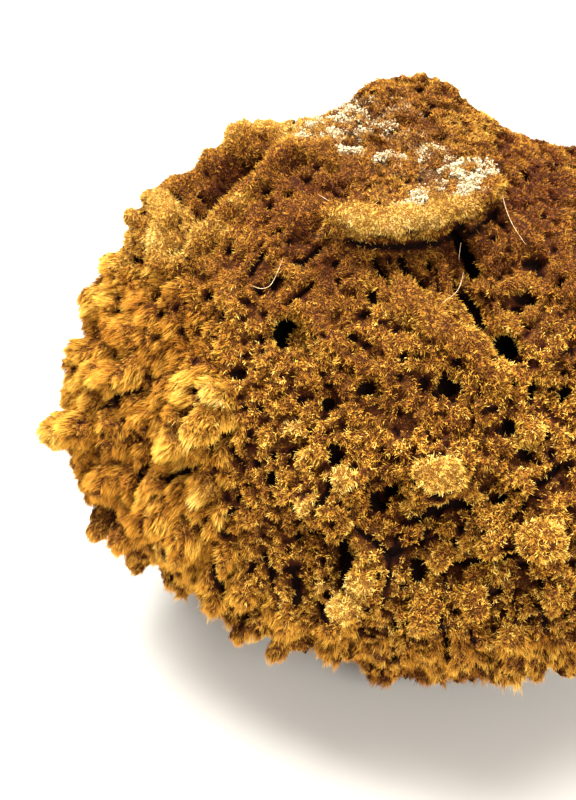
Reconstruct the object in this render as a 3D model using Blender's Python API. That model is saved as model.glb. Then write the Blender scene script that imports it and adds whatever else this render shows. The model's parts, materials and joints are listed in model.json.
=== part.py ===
# A dried natural sea sponge: one grown piece, resting on the flat cut of its foot.
#
# Metres, +Z up. The origin is on the surface that the sponge rests on, at the middle of its box.
# The side with the felted shelf and the large openings faces -Y, and its left is -X.
#
# The form is worked out in steps: a smooth mound described by its radius in every direction from
# a point in its middle, the forms that grow out of it or open into it, the cobbled tufts over
# those, and a flat cut below. Places on the front are given as the spot where the photograph
# shows them, in pixels of its 576 x 800 frame, and every size is a real one, in millimetres.

import math

import bmesh
import bpy
import numpy as np
from mathutils import Vector, kdtree, noise

MM = 0.001

# Driving dimensions of the mound
HALF_WIDTH = 100 * MM
HALF_DEPTH = 82 * MM
HEIGHT_ABOVE_MIDDLE = 76 * MM
DEPTH_BELOW_MIDDLE = 80 * MM
MIDDLE = np.array((0.0, 0.0, 74 * MM))

# Where the photograph was taken from, and how it scales
EYE_TILT = math.radians(32)
EYE_DISTANCE = 320 * MM
EYE_AIM = np.array((-41 * MM, 0.0, 78 * MM))
FOCAL_PIXELS = 1111.0
PHOTO_MIDDLE = (288.0, 400.0)

# Swellings of the mound: bearing and elevation in degrees (bearing 0 is the front, 90 the right),
# height in millimetres, and half-width in degrees
SWELLINGS = (
    ("peak", -172, 66, 16, 14),
    ("crest left of the peak", -128, 62, 6, 13),
    ("left shoulder", -92, 46, 12, 22),
    ("left flank", -84, 0, 5, 18),
    ("front foot", -12, -36, -4, 24),
    ("front left foot", -58, -37, -17, 20),
    ("front right foot", 46, -46, -7, 18),
    ("back foot", 170, -52, 9, 26),
    ("right shoulder", 110, 34, 8, 24),
    ("right flank", 84, -6, 5, 26),
    ("back", 182, 12, 6, 26),
    ("back left foot", -140, -12, 6, 20),
    ("back right shoulder", 150, 40, 4, 20),
)

# Knobs and hanging tufts seen on the front: photo x, y, then radius and height in millimetres
TUFTS = (
    (158, 190, 3.0, 2),
    (138, 213, 3.0, 2),
    (158, 238, 7, 4),
    (56, 428, 7, 6),
    (100, 298, 6, 1.5),
    (112, 408, 8, 4),
    (190, 428, 8, 5),
    (224, 392, 6, 5),
    (160, 500, 9, 3),
    (104, 532, 6, 3),
    (236, 616, 7, 4),
    (292, 616, 6, 4),
    (345, 478, 6, 5),
    (308, 502, 5, 5),
    (434, 473, 8, 8),
    (352, 515, 7, 5),
    (364, 590, 8, 8),
    (534, 470, 7, 5),
    (548, 540, 13, 7),
    (450, 600, 9, 5),
    (492, 612, 10, 5),
    (440, 655, 10, 5),
    (528, 640, 8, 6),
    (566, 600, 8, 5),
)

# Round openings on the front: photo x, y, then diameter and depth in millimetres
OSCULA = (
    (285, 332, 6.6, 13),
    (274, 281, 4.4, 9),
    (342, 200, 5.0, 7),
    (411, 184, 4.0, 6),
    (506, 345, 7.2, 13),
    (533, 389, 5.0, 10),
    (513, 382, 4.6, 9),
    (563, 397, 4.4, 9),
    (526, 299, 8.0, 11),
    (536, 263, 9.0, 7),
    (448, 387, 6.0, 9),
    (334, 458, 5.0, 9),
    (325, 402, 4.4, 8),
    (363, 389, 4.4, 8),
    (380, 506, 9.0, 15),
    (437, 516, 4.4, 9),
    (301, 540, 4.6, 10),
    (496, 500, 7.0, 10),
    (527, 452, 7.0, 10),
    (501, 431, 4.4, 7),
    (418, 580, 6.0, 9),
    (490, 598, 5.6, 9),
    (371, 292, 4.0, 8),
    (205, 200, 6.0, 6),
    (190, 212, 5.0, 6),
)

# Grooves on the front: the photo x, y of both ends, then width and depth in millimetres
GROOVES = (
    (392, 244, 436, 246, 6.0, 9),
    (459, 240, 468, 268, 4.6, 11),
    (455, 282, 482, 326, 4.0, 9),
    (378, 262, 389, 288, 4.0, 8),
    (405, 264, 422, 284, 4.0, 7),
    (343, 552, 349, 606, 4.6, 9),
    (98, 408, 136, 390, 4.0, 6),
    (316, 246, 300, 262, 3.6, 5),
    (212, 190, 236, 168, 7.0, 6),
    (400, 520, 470, 505, 4.0, 5),
    (452, 566, 520, 560, 4.6, 5),
    (520, 506, 560, 470, 4.0, 5),
)

# The felted shelf: the photo x and y of its front edge, from left to right
SHELF_EDGE = ((322, 222), (345, 233), (400, 237), (444, 229), (476, 214), (494, 188))
SHELF_HEIGHT = 5.0 * MM
SHELF_OVERHANG = 3.5 * MM
SHELF_LIP = 7.0  # pixels over which the lip rises
SHELF_REACH = 70.0  # pixels over which the shelf fades into the slope behind it

# Cobbled tufts over the whole sponge
TUFT_COUNT = 520
TUFT_HEIGHT_LOW = 6.0 * MM
TUFT_HEIGHT_HIGH = 1.6 * MM
TUFT_DROOP = 0.55
RIDGE_HEIGHT = 1.8 * MM
RIDGES_AROUND = 30

# Openings where the photograph doesn't show the sponge
HIDDEN_OPENINGS = 44
HIDDEN_DIAMETERS = (4.0, 8.0)
HIDDEN_DEPTHS = (7.0, 12.0)

FINE_SPHERE = 7
CUT_HEIGHT = 0.0
FACE_SHARE = 0.119
SPONGE_COLOUR = (0.50, 0.27, 0.075, 1.0)


def direction(bearing, elevation):
    """The unit vector at a bearing from the front and an elevation, both in degrees."""
    b, e = math.radians(bearing), math.radians(elevation)
    return np.array((math.sin(b) * math.cos(e), -math.cos(b) * math.cos(e), math.sin(e)))


def unit(vectors):
    return vectors / np.linalg.norm(vectors, axis=-1, keepdims=True)


def step_up(values, start, end):
    """0 before start, 1 after end, and a smooth rise between them."""
    t = np.clip((values - start) / (end - start), 0, 1)
    return t * t * (3 - 2 * t)


def mound_radius(directions):
    """How far the smooth mound reaches from its middle in each direction."""
    x, y, z = directions.T
    half_height = np.where(z > 0, HEIGHT_ABOVE_MIDDLE, DEPTH_BELOW_MIDDLE)
    radius = 1 / np.sqrt((x / HALF_WIDTH) ** 2 + (y / HALF_DEPTH) ** 2 + (z / half_height) ** 2)
    for _, bearing, elevation, height, spread in SWELLINGS:
        angle = np.degrees(np.arccos(np.clip(directions @ direction(bearing, elevation), -1, 1)))
        radius = radius + height * MM * np.exp(-((angle / spread) ** 2))
    return radius


class Viewpoint:
    """The place that the photograph was taken from. It turns a spot of the picture into a place."""

    def __init__(self):
        self.forward = np.array((0.0, math.cos(EYE_TILT), -math.sin(EYE_TILT)))
        self.up = np.array((0.0, math.sin(EYE_TILT), math.cos(EYE_TILT)))
        self.eye = EYE_AIM - self.forward * EYE_DISTANCE

    def place(self, px, py):
        """The point of the mound that the picture shows at px, py."""
        across = (px - PHOTO_MIDDLE[0]) / FOCAL_PIXELS
        upwards = (PHOTO_MIDDLE[1] - py) / FOCAL_PIXELS
        ray = self.forward + across * np.array((1.0, 0.0, 0.0)) + upwards * self.up
        steps = np.linspace(0.5, 1.6, 2200)[:, None] * EYE_DISTANCE
        from_middle = self.eye + steps * ray - MIDDLE
        gap = np.linalg.norm(from_middle, axis=1) - mound_radius(unit(from_middle))
        inside = np.flatnonzero(gap < 0)
        nearest = inside[0] if len(inside) else int(np.argmin(gap))
        u = unit(from_middle[nearest : nearest + 1])
        return (MIDDLE + u * mound_radius(u)[:, None])[0]

    def spots(self, points):
        """Where the picture shows each point, and how squarely the mound faces the eye there."""
        to_point = points - self.eye
        depth = to_point @ self.forward
        px = PHOTO_MIDDLE[0] + FOCAL_PIXELS * to_point[:, 0] / depth
        py = PHOTO_MIDDLE[1] - FOCAL_PIXELS * (to_point @ self.up) / depth
        facing = -(unit(to_point) * unit(points - MIDDLE)).sum(axis=1)
        return px, py, facing


def fine_ball():
    """An evenly faced ball, and the unit vector to each of its points."""
    ball = bmesh.new()
    bmesh.ops.create_icosphere(ball, subdivisions=FINE_SPHERE, radius=1.0)
    mesh = bpy.data.meshes.new("sponge")
    ball.to_mesh(mesh)
    ball.free()
    co = np.empty(len(mesh.vertices) * 3)
    mesh.vertices.foreach_get("co", co)
    return mesh, unit(co.reshape(-1, 3))


def noise_at(points, wavelength, shift=0.0):
    """Smooth noise from about -1 to 1, with this distance between its swells."""
    offset = Vector((shift, -shift, 2 * shift))
    return np.array([noise.noise(Vector(p) / wavelength + offset) for p in points])


def low_share(points):
    """1 on the shaggy lower and outer part, 0 on the felted top."""
    height = points[:, 2] + 14 * MM * noise_at(points, 45 * MM, 3.0)
    return 1 - step_up(height, 66 * MM, 128 * MM)


def spread_over_mound(count, random):
    """Points spaced evenly over the mound, each moved a little at random."""
    turn = math.pi * (3 - math.sqrt(5))
    i = np.arange(count)
    z = 1 - 2 * (i + 0.5) / count
    r = np.sqrt(1 - z * z)
    even = np.stack((r * np.cos(turn * i), r * np.sin(turn * i), z), axis=1)
    u = unit(even + random.normal(0, 1.1 / math.sqrt(count), even.shape))
    return MIDDLE + u * mound_radius(u)[:, None]


def cobble(points, centres):
    """1 at the middle of each cobble, 0 in the valleys between them."""
    upright = np.array((1, 1, 0.72))
    tree = kdtree.KDTree(len(centres))
    for i, centre in enumerate(centres * upright):
        tree.insert(centre, i)
    tree.balance()
    distance = np.array([[hit[2] for hit in tree.find_n(p, 2)] for p in points * upright])
    return step_up(distance[:, 1] - distance[:, 0], 0.0, 9 * MM)


def distance_to_line(points, start, end):
    along = end - start
    t = np.clip(((points - start) @ along) / (along @ along), 0, 1)
    return np.linalg.norm(points - start - t[:, None] * along, axis=1)


def well(distance, width):
    """The cross-section of an opening: 1 over its floor, falling steeply at its wall."""
    return 1 / (1 + (distance / (0.56 * width)) ** 6)


def openings(points, view, random):
    """How deep each point lies in an opening or a groove."""
    depth = np.zeros(len(points))
    for px, py, width, down in OSCULA:
        distance = np.linalg.norm(points - view.place(px, py), axis=1)
        depth = np.maximum(depth, down * MM * well(distance, width * MM))
    for x0, y0, x1, y1, width, down in GROOVES:
        distance = distance_to_line(points, view.place(x0, y0), view.place(x1, y1))
        depth = np.maximum(depth, down * MM * well(distance, width * MM))
    places = spread_over_mound(HIDDEN_OPENINGS * 3, random)
    px, py, facing = view.spots(places)
    unseen = (facing < 0.12) | (px > PHOTO_MIDDLE[0] * 2 + 12)
    for place in places[unseen & (places[:, 2] > 16 * MM)][:HIDDEN_OPENINGS]:
        width = random.uniform(*HIDDEN_DIAMETERS) * MM
        down = random.uniform(*HIDDEN_DEPTHS) * MM
        distance = np.linalg.norm(points - place, axis=1)
        depth = np.maximum(depth, down * well(distance, width))
    return depth


def shelf(points, view):
    """The height and the forward lean of the felted shelf at each point."""
    px, py, facing = view.spots(points)
    edge_x, edge_y = np.array(SHELF_EDGE).T
    above = np.interp(px, edge_x, edge_y) - py
    within = step_up(px, edge_x[0] - 14, edge_x[0] + 14) * (facing > 0)
    within = within * (1 - step_up(px, edge_x[-1] - 8, edge_x[-1] + 10))
    lip = step_up(above, -0.4 * SHELF_LIP, 0.6 * SHELF_LIP)
    height = SHELF_HEIGHT * lip * np.exp(-((np.maximum(above, 0) / SHELF_REACH) ** 2)) * within
    lean = SHELF_OVERHANG * np.exp(-(((above - 4) / 9) ** 2)) * within
    return height, lean


def tuft_rise(mound, low, view, random):
    """How far the cobbled tufts stand out of the mound, and the single tufts seen on the front."""
    full = TUFT_HEIGHT_HIGH + (TUFT_HEIGHT_LOW - TUFT_HEIGHT_HIGH) * low
    wavy = mound + 4 * MM * noise_at(mound, 14 * MM, 1.0)[:, None]
    size = 0.45 + 0.55 * step_up(noise_at(mound, 30 * MM, 17.0), -0.5, 0.5)
    rise = full * (cobble(wavy, spread_over_mound(TUFT_COUNT, random)) * size - 0.35)
    for px, py, radius, height in TUFTS:
        distance = np.linalg.norm(mound - view.place(px, py), axis=1)
        rise += height * MM * np.exp(-((distance / (radius * MM)) ** 4))
    return rise


def shaped_points(u):
    """Every point of the sponge's surface before its foot is cut flat."""
    random = np.random.default_rng(7)
    view = Viewpoint()
    mound = MIDDLE + u * mound_radius(u)[:, None]
    low = low_share(mound)
    droop = unit(u - np.array((0, 0, TUFT_DROOP)) * low[:, None])
    swell = noise_at(mound, 60 * MM) * 3.0 * MM + noise_at(mound, 26 * MM, 9.0) * 1.8 * MM
    bearing = np.arctan2(u[:, 0], -u[:, 1]) + 0.25 * noise_at(mound, 40 * MM, 5.0)
    ridges = RIDGE_HEIGHT * np.sin(RIDGES_AROUND * bearing) * (1 - u[:, 2] ** 2) ** 1.5
    shelf_height, shelf_lean = shelf(mound, view)
    rise = tuft_rise(mound, low, view, random)
    depth = openings(mound, view, random)
    above_cut = step_up(mound[:, 2], -10 * MM, 2 * MM)
    outward = (swell + ridges + shelf_height - depth) * above_cut
    points = mound + u * outward[:, None] + droop * (rise * above_cut)[:, None]
    toward_eye = np.array((0.0, -0.95, -0.3))
    return points + toward_eye * shelf_lean[:, None]


def sponge_material():
    material = bpy.data.materials.new("dry golden sponge")
    material.use_nodes = True
    shader = material.node_tree.nodes["Principled BSDF"]
    shader.inputs["Base Color"].default_value = SPONGE_COLOUR
    shader.inputs["Roughness"].default_value = 0.95
    shader.inputs["Metallic"].default_value = 0.0
    return material


def foot_cutter(cut_height):
    """A block whose top face is the flat cut that the sponge rests on."""
    span, deep = 400 * MM, 100 * MM
    mesh = bpy.data.meshes.new("foot_cutter")
    block = bmesh.new()
    bmesh.ops.create_cube(block, size=1.0)
    for corner in block.verts:
        x, y, z = corner.co
        corner.co = (x * span, y * span, cut_height + (z - 0.5) * deep)
    block.to_mesh(mesh)
    block.free()
    cutter = bpy.data.objects.new("foot_cutter", mesh)
    cutter.hide_render = True
    cutter.display_type = "WIRE"
    bpy.context.scene.collection.objects.link(cutter)
    return cutter


def main():
    for old in list(bpy.data.objects):
        bpy.data.objects.remove(old)
    mesh, u = fine_ball()
    points = shaped_points(u)
    kept = points[points[:, 2] > CUT_HEIGHT]
    centre = (kept.min(axis=0) + kept.max(axis=0)) / 2
    points -= (centre[0], centre[1], 0)
    print("moved by", centre)
    mesh.vertices.foreach_set("co", points.ravel())
    mesh.update()
    mesh.materials.append(sponge_material())
    mesh.shade_smooth()
    mesh.set_sharp_from_angle(angle=math.radians(60))
    sponge = bpy.data.objects.new("sponge", mesh)
    bpy.context.scene.collection.objects.link(sponge)
    thin = sponge.modifiers.new("fewer faces", "DECIMATE")
    thin.ratio = FACE_SHARE
    cut = sponge.modifiers.new("flat foot", "BOOLEAN")
    cut.operation = "DIFFERENCE"
    cut.solver = "EXACT"
    cut.object = foot_cutter(CUT_HEIGHT)


main()
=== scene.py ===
# A dried natural sea sponge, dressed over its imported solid.
# Its pieces are the fibrous body, five coats of fibre that grow out of it, the chalky grit on and
# round the shelf, and the loose hairs that lie on it. Spots on the front are given where the
# picture shows them, in pixels of a 576 x 800 frame, and are carried onto the body by a ray.

import json
import math

import bmesh
import bpy
import numpy as np
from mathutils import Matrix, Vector, noise
from mathutils.bvhtree import BVHTree
from mathutils.kdtree import KDTree

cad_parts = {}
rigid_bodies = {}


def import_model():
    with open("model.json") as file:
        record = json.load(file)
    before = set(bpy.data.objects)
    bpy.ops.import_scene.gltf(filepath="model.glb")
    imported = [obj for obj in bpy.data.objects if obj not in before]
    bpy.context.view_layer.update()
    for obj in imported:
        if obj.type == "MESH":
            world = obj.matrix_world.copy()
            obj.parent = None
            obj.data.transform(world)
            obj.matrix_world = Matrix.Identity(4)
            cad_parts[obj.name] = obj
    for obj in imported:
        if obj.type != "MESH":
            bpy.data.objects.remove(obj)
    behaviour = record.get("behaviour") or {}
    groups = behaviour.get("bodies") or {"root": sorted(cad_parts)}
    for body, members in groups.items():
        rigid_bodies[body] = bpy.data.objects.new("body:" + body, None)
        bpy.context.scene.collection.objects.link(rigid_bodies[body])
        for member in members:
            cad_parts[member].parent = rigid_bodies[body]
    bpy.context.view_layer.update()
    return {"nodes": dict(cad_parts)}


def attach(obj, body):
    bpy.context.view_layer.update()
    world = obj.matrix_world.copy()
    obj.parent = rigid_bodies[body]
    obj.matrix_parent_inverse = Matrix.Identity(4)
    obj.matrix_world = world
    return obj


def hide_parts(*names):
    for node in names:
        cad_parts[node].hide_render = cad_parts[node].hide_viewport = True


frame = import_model()
scene = bpy.context.scene
mm = 0.001

# where the picture is taken from
shot = {
    "tilt": 32,                          # degrees below level
    "distance": 320 * mm,
    "aim": (-40.8 * mm, 1.3 * mm, 78 * mm),
    "lens": 50,
    "filmHeight": 36,
    "pictureWidth": 576,
    "pictureHeight": 800,
}


def shotDirections():
    tilt = math.radians(shot["tilt"])
    forward = np.array((0, math.cos(tilt), -math.sin(tilt)))
    up = np.array((0, math.sin(tilt), math.cos(tilt)))
    return np.array(shot["aim"]) - forward * shot["distance"], forward, up


def focalPixels():
    return shot["lens"] / shot["filmHeight"] * shot["pictureHeight"]


def rayThrough(x, y):
    eye, forward, up = shotDirections()
    across = (x - shot["pictureWidth"] / 2) / focalPixels()
    upwards = (shot["pictureHeight"] / 2 - y) / focalPixels()
    return Vector(eye), Vector(forward + across * np.array((1, 0, 0)) + upwards * up).normalized()


def pictureSpots(points):
    eye, forward, up = shotDirections()
    away = points - eye
    depth = away @ forward
    x = shot["pictureWidth"] / 2 + focalPixels() * away[:, 0] / depth
    y = shot["pictureHeight"] / 2 - focalPixels() * (away @ up) / depth
    return x, y


# small tools for numbers and meshes

def easeStep(values, start, end):
    t = np.clip((values - start) / (end - start), 0, 1)
    return t * t * (3 - 2 * t)


def unit(vectors):
    return vectors / np.maximum(np.linalg.norm(vectors, axis=-1, keepdims=True), 1e-12)


def wander(points, size, shift=0.0):
    offset = Vector((shift, 2 * shift, -shift))
    return np.array([noise.noise(Vector(p) / size + offset) for p in points])


def cellGaps(points, size, shift=0.0):
    offset = Vector((shift, shift, shift))
    found = [noise.voronoi(Vector(p) / size + offset)[0] for p in points]
    return np.array([(d[0], d[1]) for d in found])


def pointsOf(mesh):
    flat = np.empty(len(mesh.vertices) * 3)
    mesh.vertices.foreach_get("co", flat)
    return flat.reshape(-1, 3)


def normalsOf(mesh):
    flat = np.empty(len(mesh.vertices) * 3)
    mesh.vertex_normals.foreach_get("vector", flat)
    return flat.reshape(-1, 3)


def movePoints(mesh, points):
    mesh.vertices.foreach_set("co", np.ascontiguousarray(points, np.float32).ravel())
    mesh.update()


def keepValues(mesh, name, values):
    kind = "FLOAT" if values.ndim == 1 else "FLOAT_VECTOR"
    layer = mesh.attributes.new(name, kind, "POINT")
    layer.data.foreach_set("value" if values.ndim == 1 else "vector",
                           np.ascontiguousarray(values, np.float32).ravel())


def linkObject(name, mesh):
    obj = bpy.data.objects.new(name, mesh)
    scene.collection.objects.link(obj)
    return obj


def settled(obj):
    graph = bpy.context.evaluated_depsgraph_get()
    return bpy.data.meshes.new_from_object(obj.evaluated_get(graph), preserve_all_data_layers=True,
                                           depsgraph=graph)


def smoothedPoints(mesh, steps):
    obj = linkObject("smoothing", mesh.copy())
    calm = obj.modifiers.new("calm", "SMOOTH")
    calm.factor = 0.5
    calm.iterations = steps
    made = settled(obj)
    points, normals = pointsOf(made), normalsOf(made)
    bpy.data.objects.remove(obj)
    bpy.data.meshes.remove(made)
    return points, normals


# paint and shader tools

def paint(red, green, blue):
    def linear(value):
        value /= 255
        return value / 12.92 if value <= 0.04045 else ((value + 0.055) / 1.055) ** 2.4
    return linear(red), linear(green), linear(blue), 1.0


def addNode(tree, kind, inputs=None, **settings):
    node = tree.nodes.new(kind)
    for name, value in settings.items():
        setattr(node, name, value)
    for name, value in (inputs or {}).items():
        if isinstance(value, bpy.types.NodeSocket):
            tree.links.new(value, node.inputs[name])
        else:
            node.inputs[name].default_value = value
    return node


def addRamp(tree, factor, stops):
    ramp = addNode(tree, "ShaderNodeValToRGB", {"Fac": factor})
    points = ramp.color_ramp.elements
    while len(points) < len(stops):
        points.new(0.5)
    for point, (place, colour) in zip(points, stops):
        point.position = place
        point.color = colour
    return ramp.outputs["Color"]


def mixColours(tree, factor, first, second, blend="MIX"):
    mix = addNode(tree, "ShaderNodeMix", data_type="RGBA", blend_type=blend)
    for socket, value in ((mix.inputs[0], factor), (mix.inputs[6], first), (mix.inputs[7], second)):
        if isinstance(value, bpy.types.NodeSocket):
            tree.links.new(value, socket)
        else:
            socket.default_value = value
    return mix.outputs[2]


def newMaterial(name, roughness):
    material = bpy.data.materials.new(name)
    material.use_nodes = True
    shader = material.node_tree.nodes["Principled BSDF"]
    shader.inputs["Roughness"].default_value = roughness
    shader.inputs["Specular IOR Level"].default_value = 0.12
    return material, material.node_tree, shader


def sumOf(tree, operation, first, second=0.0, third=0.0):
    node = addNode(tree, "ShaderNodeMath", {0: first, 1: second, 2: third}, operation=operation)
    return node.outputs[0]


def vectorSum(tree, operation, first, second=(0.0, 0.0, 0.0)):
    scaling = operation == "SCALE"
    node = addNode(tree, "ShaderNodeVectorMath", {0: first, (3 if scaling else 1): second},
                   operation=operation)
    return node.outputs[1 if operation in ("DISTANCE", "LENGTH", "DOT_PRODUCT") else 0]


def rangeOf(tree, value, fromMin, fromMax, toMin=0.0, toMax=1.0):
    node = addNode(tree, "ShaderNodeMapRange", {"Value": value, "From Min": fromMin,
                                                "From Max": fromMax, "To Min": toMin,
                                                "To Max": toMax})
    return node.outputs["Result"]


def makeFleckGroup():
    # fine flecks of light fibre and dark gap, and the relief that goes with them
    tree = bpy.data.node_groups.new("fibre flecks", "ShaderNodeTree")
    sockets = tree.interface
    sockets.new_socket(name="Fleck Scale", in_out="INPUT", socket_type="NodeSocketFloat")
    sockets.new_socket(name="Relief", in_out="INPUT", socket_type="NodeSocketFloat")
    sockets.new_socket(name="Flecks", in_out="OUTPUT", socket_type="NodeSocketFloat")
    sockets.new_socket(name="Normal", in_out="OUTPUT", socket_type="NodeSocketVector")
    entry = tree.nodes.new("NodeGroupInput")
    leave = tree.nodes.new("NodeGroupOutput")
    place = addNode(tree, "ShaderNodeTexCoord").outputs["Object"]
    grain = addNode(tree, "ShaderNodeTexNoise",
                    {"Vector": place, "Scale": entry.outputs["Fleck Scale"], "Detail": 4.0,
                     "Roughness": 0.7, "Distortion": 1.5})
    flecks = rangeOf(tree, grain.outputs["Fac"], 0.44, 0.58)
    bump = addNode(tree, "ShaderNodeBump",
                   {"Strength": entry.outputs["Relief"], "Distance": 0.5 * mm, "Height": flecks})
    tree.links.new(flecks, leave.inputs["Flecks"])
    tree.links.new(bump.outputs["Normal"], leave.inputs["Normal"])
    return tree


fleckGroup = makeFleckGroup()


def addFlecks(tree, scale, relief):
    node = tree.nodes.new("ShaderNodeGroup")
    node.node_tree = fleckGroup
    node.inputs["Fleck Scale"].default_value = scale
    node.inputs["Relief"].default_value = relief
    return node.outputs["Flecks"], node.outputs["Normal"]


# the body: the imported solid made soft, set in by the length of its fibres, lumped and opened

body = {
    "voxel": 0.85 * mm,
    "softening": 8,
    "filling": 700,
    "evening": 6,
    "calming": 60,
    "triangles": 105000,
    "inset": 0.2 * mm,
    "footEdge": (0.4 * mm, 4 * mm),      # below this the body keeps the solid's shape
}

# how the front is told from the back, by the cosine between a normal and the line to the camera
sides = {
    "seenEdge": (-0.08, 0.08),
    "nearEdge": (-0.55, -0.3),           # a little way round the outline
    "sightShare": 0.75,                  # an opening on the front runs along the line of sight
    "normalShare": 0.25,
}

# broad lobes, the hanging brushes that they become low down, and the small clumps on both
tufts = {
    "swaySize": 9 * mm,
    "lobeSway": 2.5 * mm,
    "clumpSway": 1.0 * mm,
    "lobeSize": 11 * mm,
    "lobeEdge": 0.6,
    "lobeLevel": 0.55,                   # the part of a lobe that stays where the solid is
    "lobeHeight": 1.2 * mm,
    "lobeHeights": {"left": 4.2 * mm, "low": 4.0 * mm, "top": 1.6 * mm},
    "hangingSize": 8.5 * mm,
    "hangingSquash": (1, 1, 0.42),
    "clumpSize": 3.4 * mm,
    "clumpEdge": 0.7,
    "clumpHeight": 1.3 * mm,
    "clumpLessOnTop": 0.6,
    "quiet": 0.6,                        # how much calmer they are on a lobe from the table
    "quietEdge": (0.1, 0.6),
    "droop": 0.35,
    "droopEdge": (0, 4 * mm),
}

# ragged hollows between the tufts, fewer on the felted top and the combed left
hollows = {
    "size": 3.2 * mm,
    "fineSize": 0.45,                    # share of size
    "fineShare": 0.4,
    "depth": 3.0 * mm,
    "edge": (0.04, 0.28),
    "lobeEdge": (0.15, 0.4),
    "fewer": {"top": 0.3, "left": 0.6, "low": 0.3},
}

# pores scattered over the whole body
poreRules = {
    "middle": {"count": 420, "widths": (2.6 * mm, 4.6 * mm), "spacing": 4.5 * mm, "seed": 5},
    "small": {"count": 2600, "widths": (1.5 * mm, 3.0 * mm), "spacing": 1.5 * mm, "seed": 6},
    "byZone": {"top": -0.65, "left": -0.6, "right": 0.2},
    "least": 0.08,
    "lowest": 8 * mm,
    "lobeLimit": 0.25,
    "middleInFront": 0.2,                # most of the front's middle pores are in the table
    "middleOffTop": 0.8,
    "depths": (1.0, 1.7),                # in widths of the pore
    "blocked": 0.12,
}

# how the spots in the tables become forms: edges are in radii or half widths of the form
forms = {
    "lobeFit": 0.75,                     # share of the radii in the table
    "raisedEdge": (0.45, 1.3),
    "valleyEdge": (0.2, 1.4),
    "dentEdge": (0.3, 1.3),
    "raggedSize": 4.5 * mm,
    "raggedRidge": 0.7,
    "raggedValley": 0.5,
    "sharpness": 8,                      # of an opening's rim
    "openFit": 0.4,                      # share of the width and height in the table
    "openDepth": 0.7,
    "deepest": 8.5,                      # openings past this depth in mm are whole and painted black, a painted shade inside them
    "deepFit": 0.46,
    "blackEdge": (1.05, 1.3),
    "clearEdge": (1.8, 2.8),             # no hollow breaks the rim of a deep opening
    "hiddenGap": 9,                      # closes an opening on the side that isn't seen
}

# openings seen on the front: x, y, width and height in pixels, depth in millimetres
poreSpots = (
    (285, 332, 22, 23, 11), (274, 281, 15, 14, 7), (342, 200, 14, 15, 5), (411, 183, 10, 9, 4),
    (374, 295, 11, 10, 5), (478, 230, 11, 11, 6), (526, 299, 29, 18, 8), (536, 262, 34, 18, 5),
    (504, 345, 24, 24, 9), (533, 389, 17, 16, 8), (514, 382, 14, 13, 7), (562, 396, 13, 17, 8),
    (540, 408, 11, 10, 5), (529, 360, 13, 10, 5), (539, 364, 9, 9, 4), (448, 386, 21, 15, 7),
    (437, 413, 10, 10, 5), (507, 270, 12, 11, 6), (482, 295, 12, 11, 6), (489, 308, 9, 9, 4),
    (456, 273, 8, 8, 5), (431, 341, 9, 8, 4), (487, 361, 10, 9, 4), (353, 351, 10, 10, 6),
    (325, 403, 14, 13, 6), (325, 433, 10, 10, 5), (334, 458, 18, 16, 7), (381, 502, 24, 27, 8),
    (437, 516, 13, 12, 6), (300, 540, 13, 19, 8), (496, 499, 24, 13, 7), (435, 499, 10, 10, 5),
    (450, 502, 10, 10, 5), (526, 452, 25, 15, 7), (501, 431, 13, 12, 6), (394, 538, 12, 12, 6),
    (418, 577, 18, 20, 7), (468, 634, 12, 11, 5), (489, 596, 15, 21, 7), (321, 538, 12, 12, 6),
    (363, 389, 21, 16, 6), (435, 414, 9, 9, 4), (554, 451, 13, 17, 7), (209, 375, 10, 9, 5),
    (240, 396, 12, 11, 6), (236, 428, 10, 9, 5), (247, 439, 9, 9, 4), (148, 459, 9, 8, 4),
    (162, 458, 8, 8, 4), (181, 469, 10, 9, 5), (222, 491, 12, 11, 6), (231, 541, 9, 9, 4),
    (281, 509, 10, 10, 5), (201, 467, 9, 9, 4), (265, 485, 9, 9, 4), (261, 540, 9, 10, 4),
    (294, 358, 10, 9, 5), (326, 335, 8, 8, 5), (338, 284, 9, 9, 5), (371, 292, 10, 9, 5),
    (384, 266, 10, 9, 5), (234, 379, 10, 9, 4), (356, 318, 8, 8, 4), (305, 300, 8, 8, 4),
    (316, 390, 8, 9, 4), (296, 420, 9, 8, 4), (356, 430, 8, 8, 4), (404, 440, 8, 8, 4),
    (389, 420, 7, 7, 3), (470, 400, 9, 9, 4), (480, 380, 8, 8, 4), (553, 330, 10, 10, 5),
    (560, 300, 10, 9, 4), (548, 232, 10, 9, 4), (515, 215, 8, 8, 3), (530, 190, 8, 7, 3),
    (560, 352, 9, 9, 5), (270, 360, 8, 8, 4), (253, 336, 7, 7, 3), (245, 375, 8, 7, 4),
    (297, 480, 9, 9, 5), (282, 452, 9, 9, 4), (262, 420, 8, 8, 4), (352, 560, 10, 20, 7),
    (410, 540, 10, 10, 5), (455, 546, 11, 9, 5), (476, 528, 10, 9, 5), (512, 560, 13, 9, 6),
    (540, 500, 12, 10, 6), (350, 610, 9, 14, 5), (385, 616, 9, 11, 5), (410, 634, 10, 9, 5),
    (514, 606, 10, 12, 5), (250, 570, 10, 12, 5), (206, 520, 10, 10, 4), (186, 500, 9, 8, 4),
    (142, 420, 13, 7, 4), (122, 440, 9, 7, 4), (462, 356, 7, 7, 3), (420, 380, 7, 7, 3),
    (318, 360, 7, 7, 4), (340, 380, 7, 7, 4), (380, 350, 6, 6, 3), (410, 400, 7, 7, 3),
)

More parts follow.
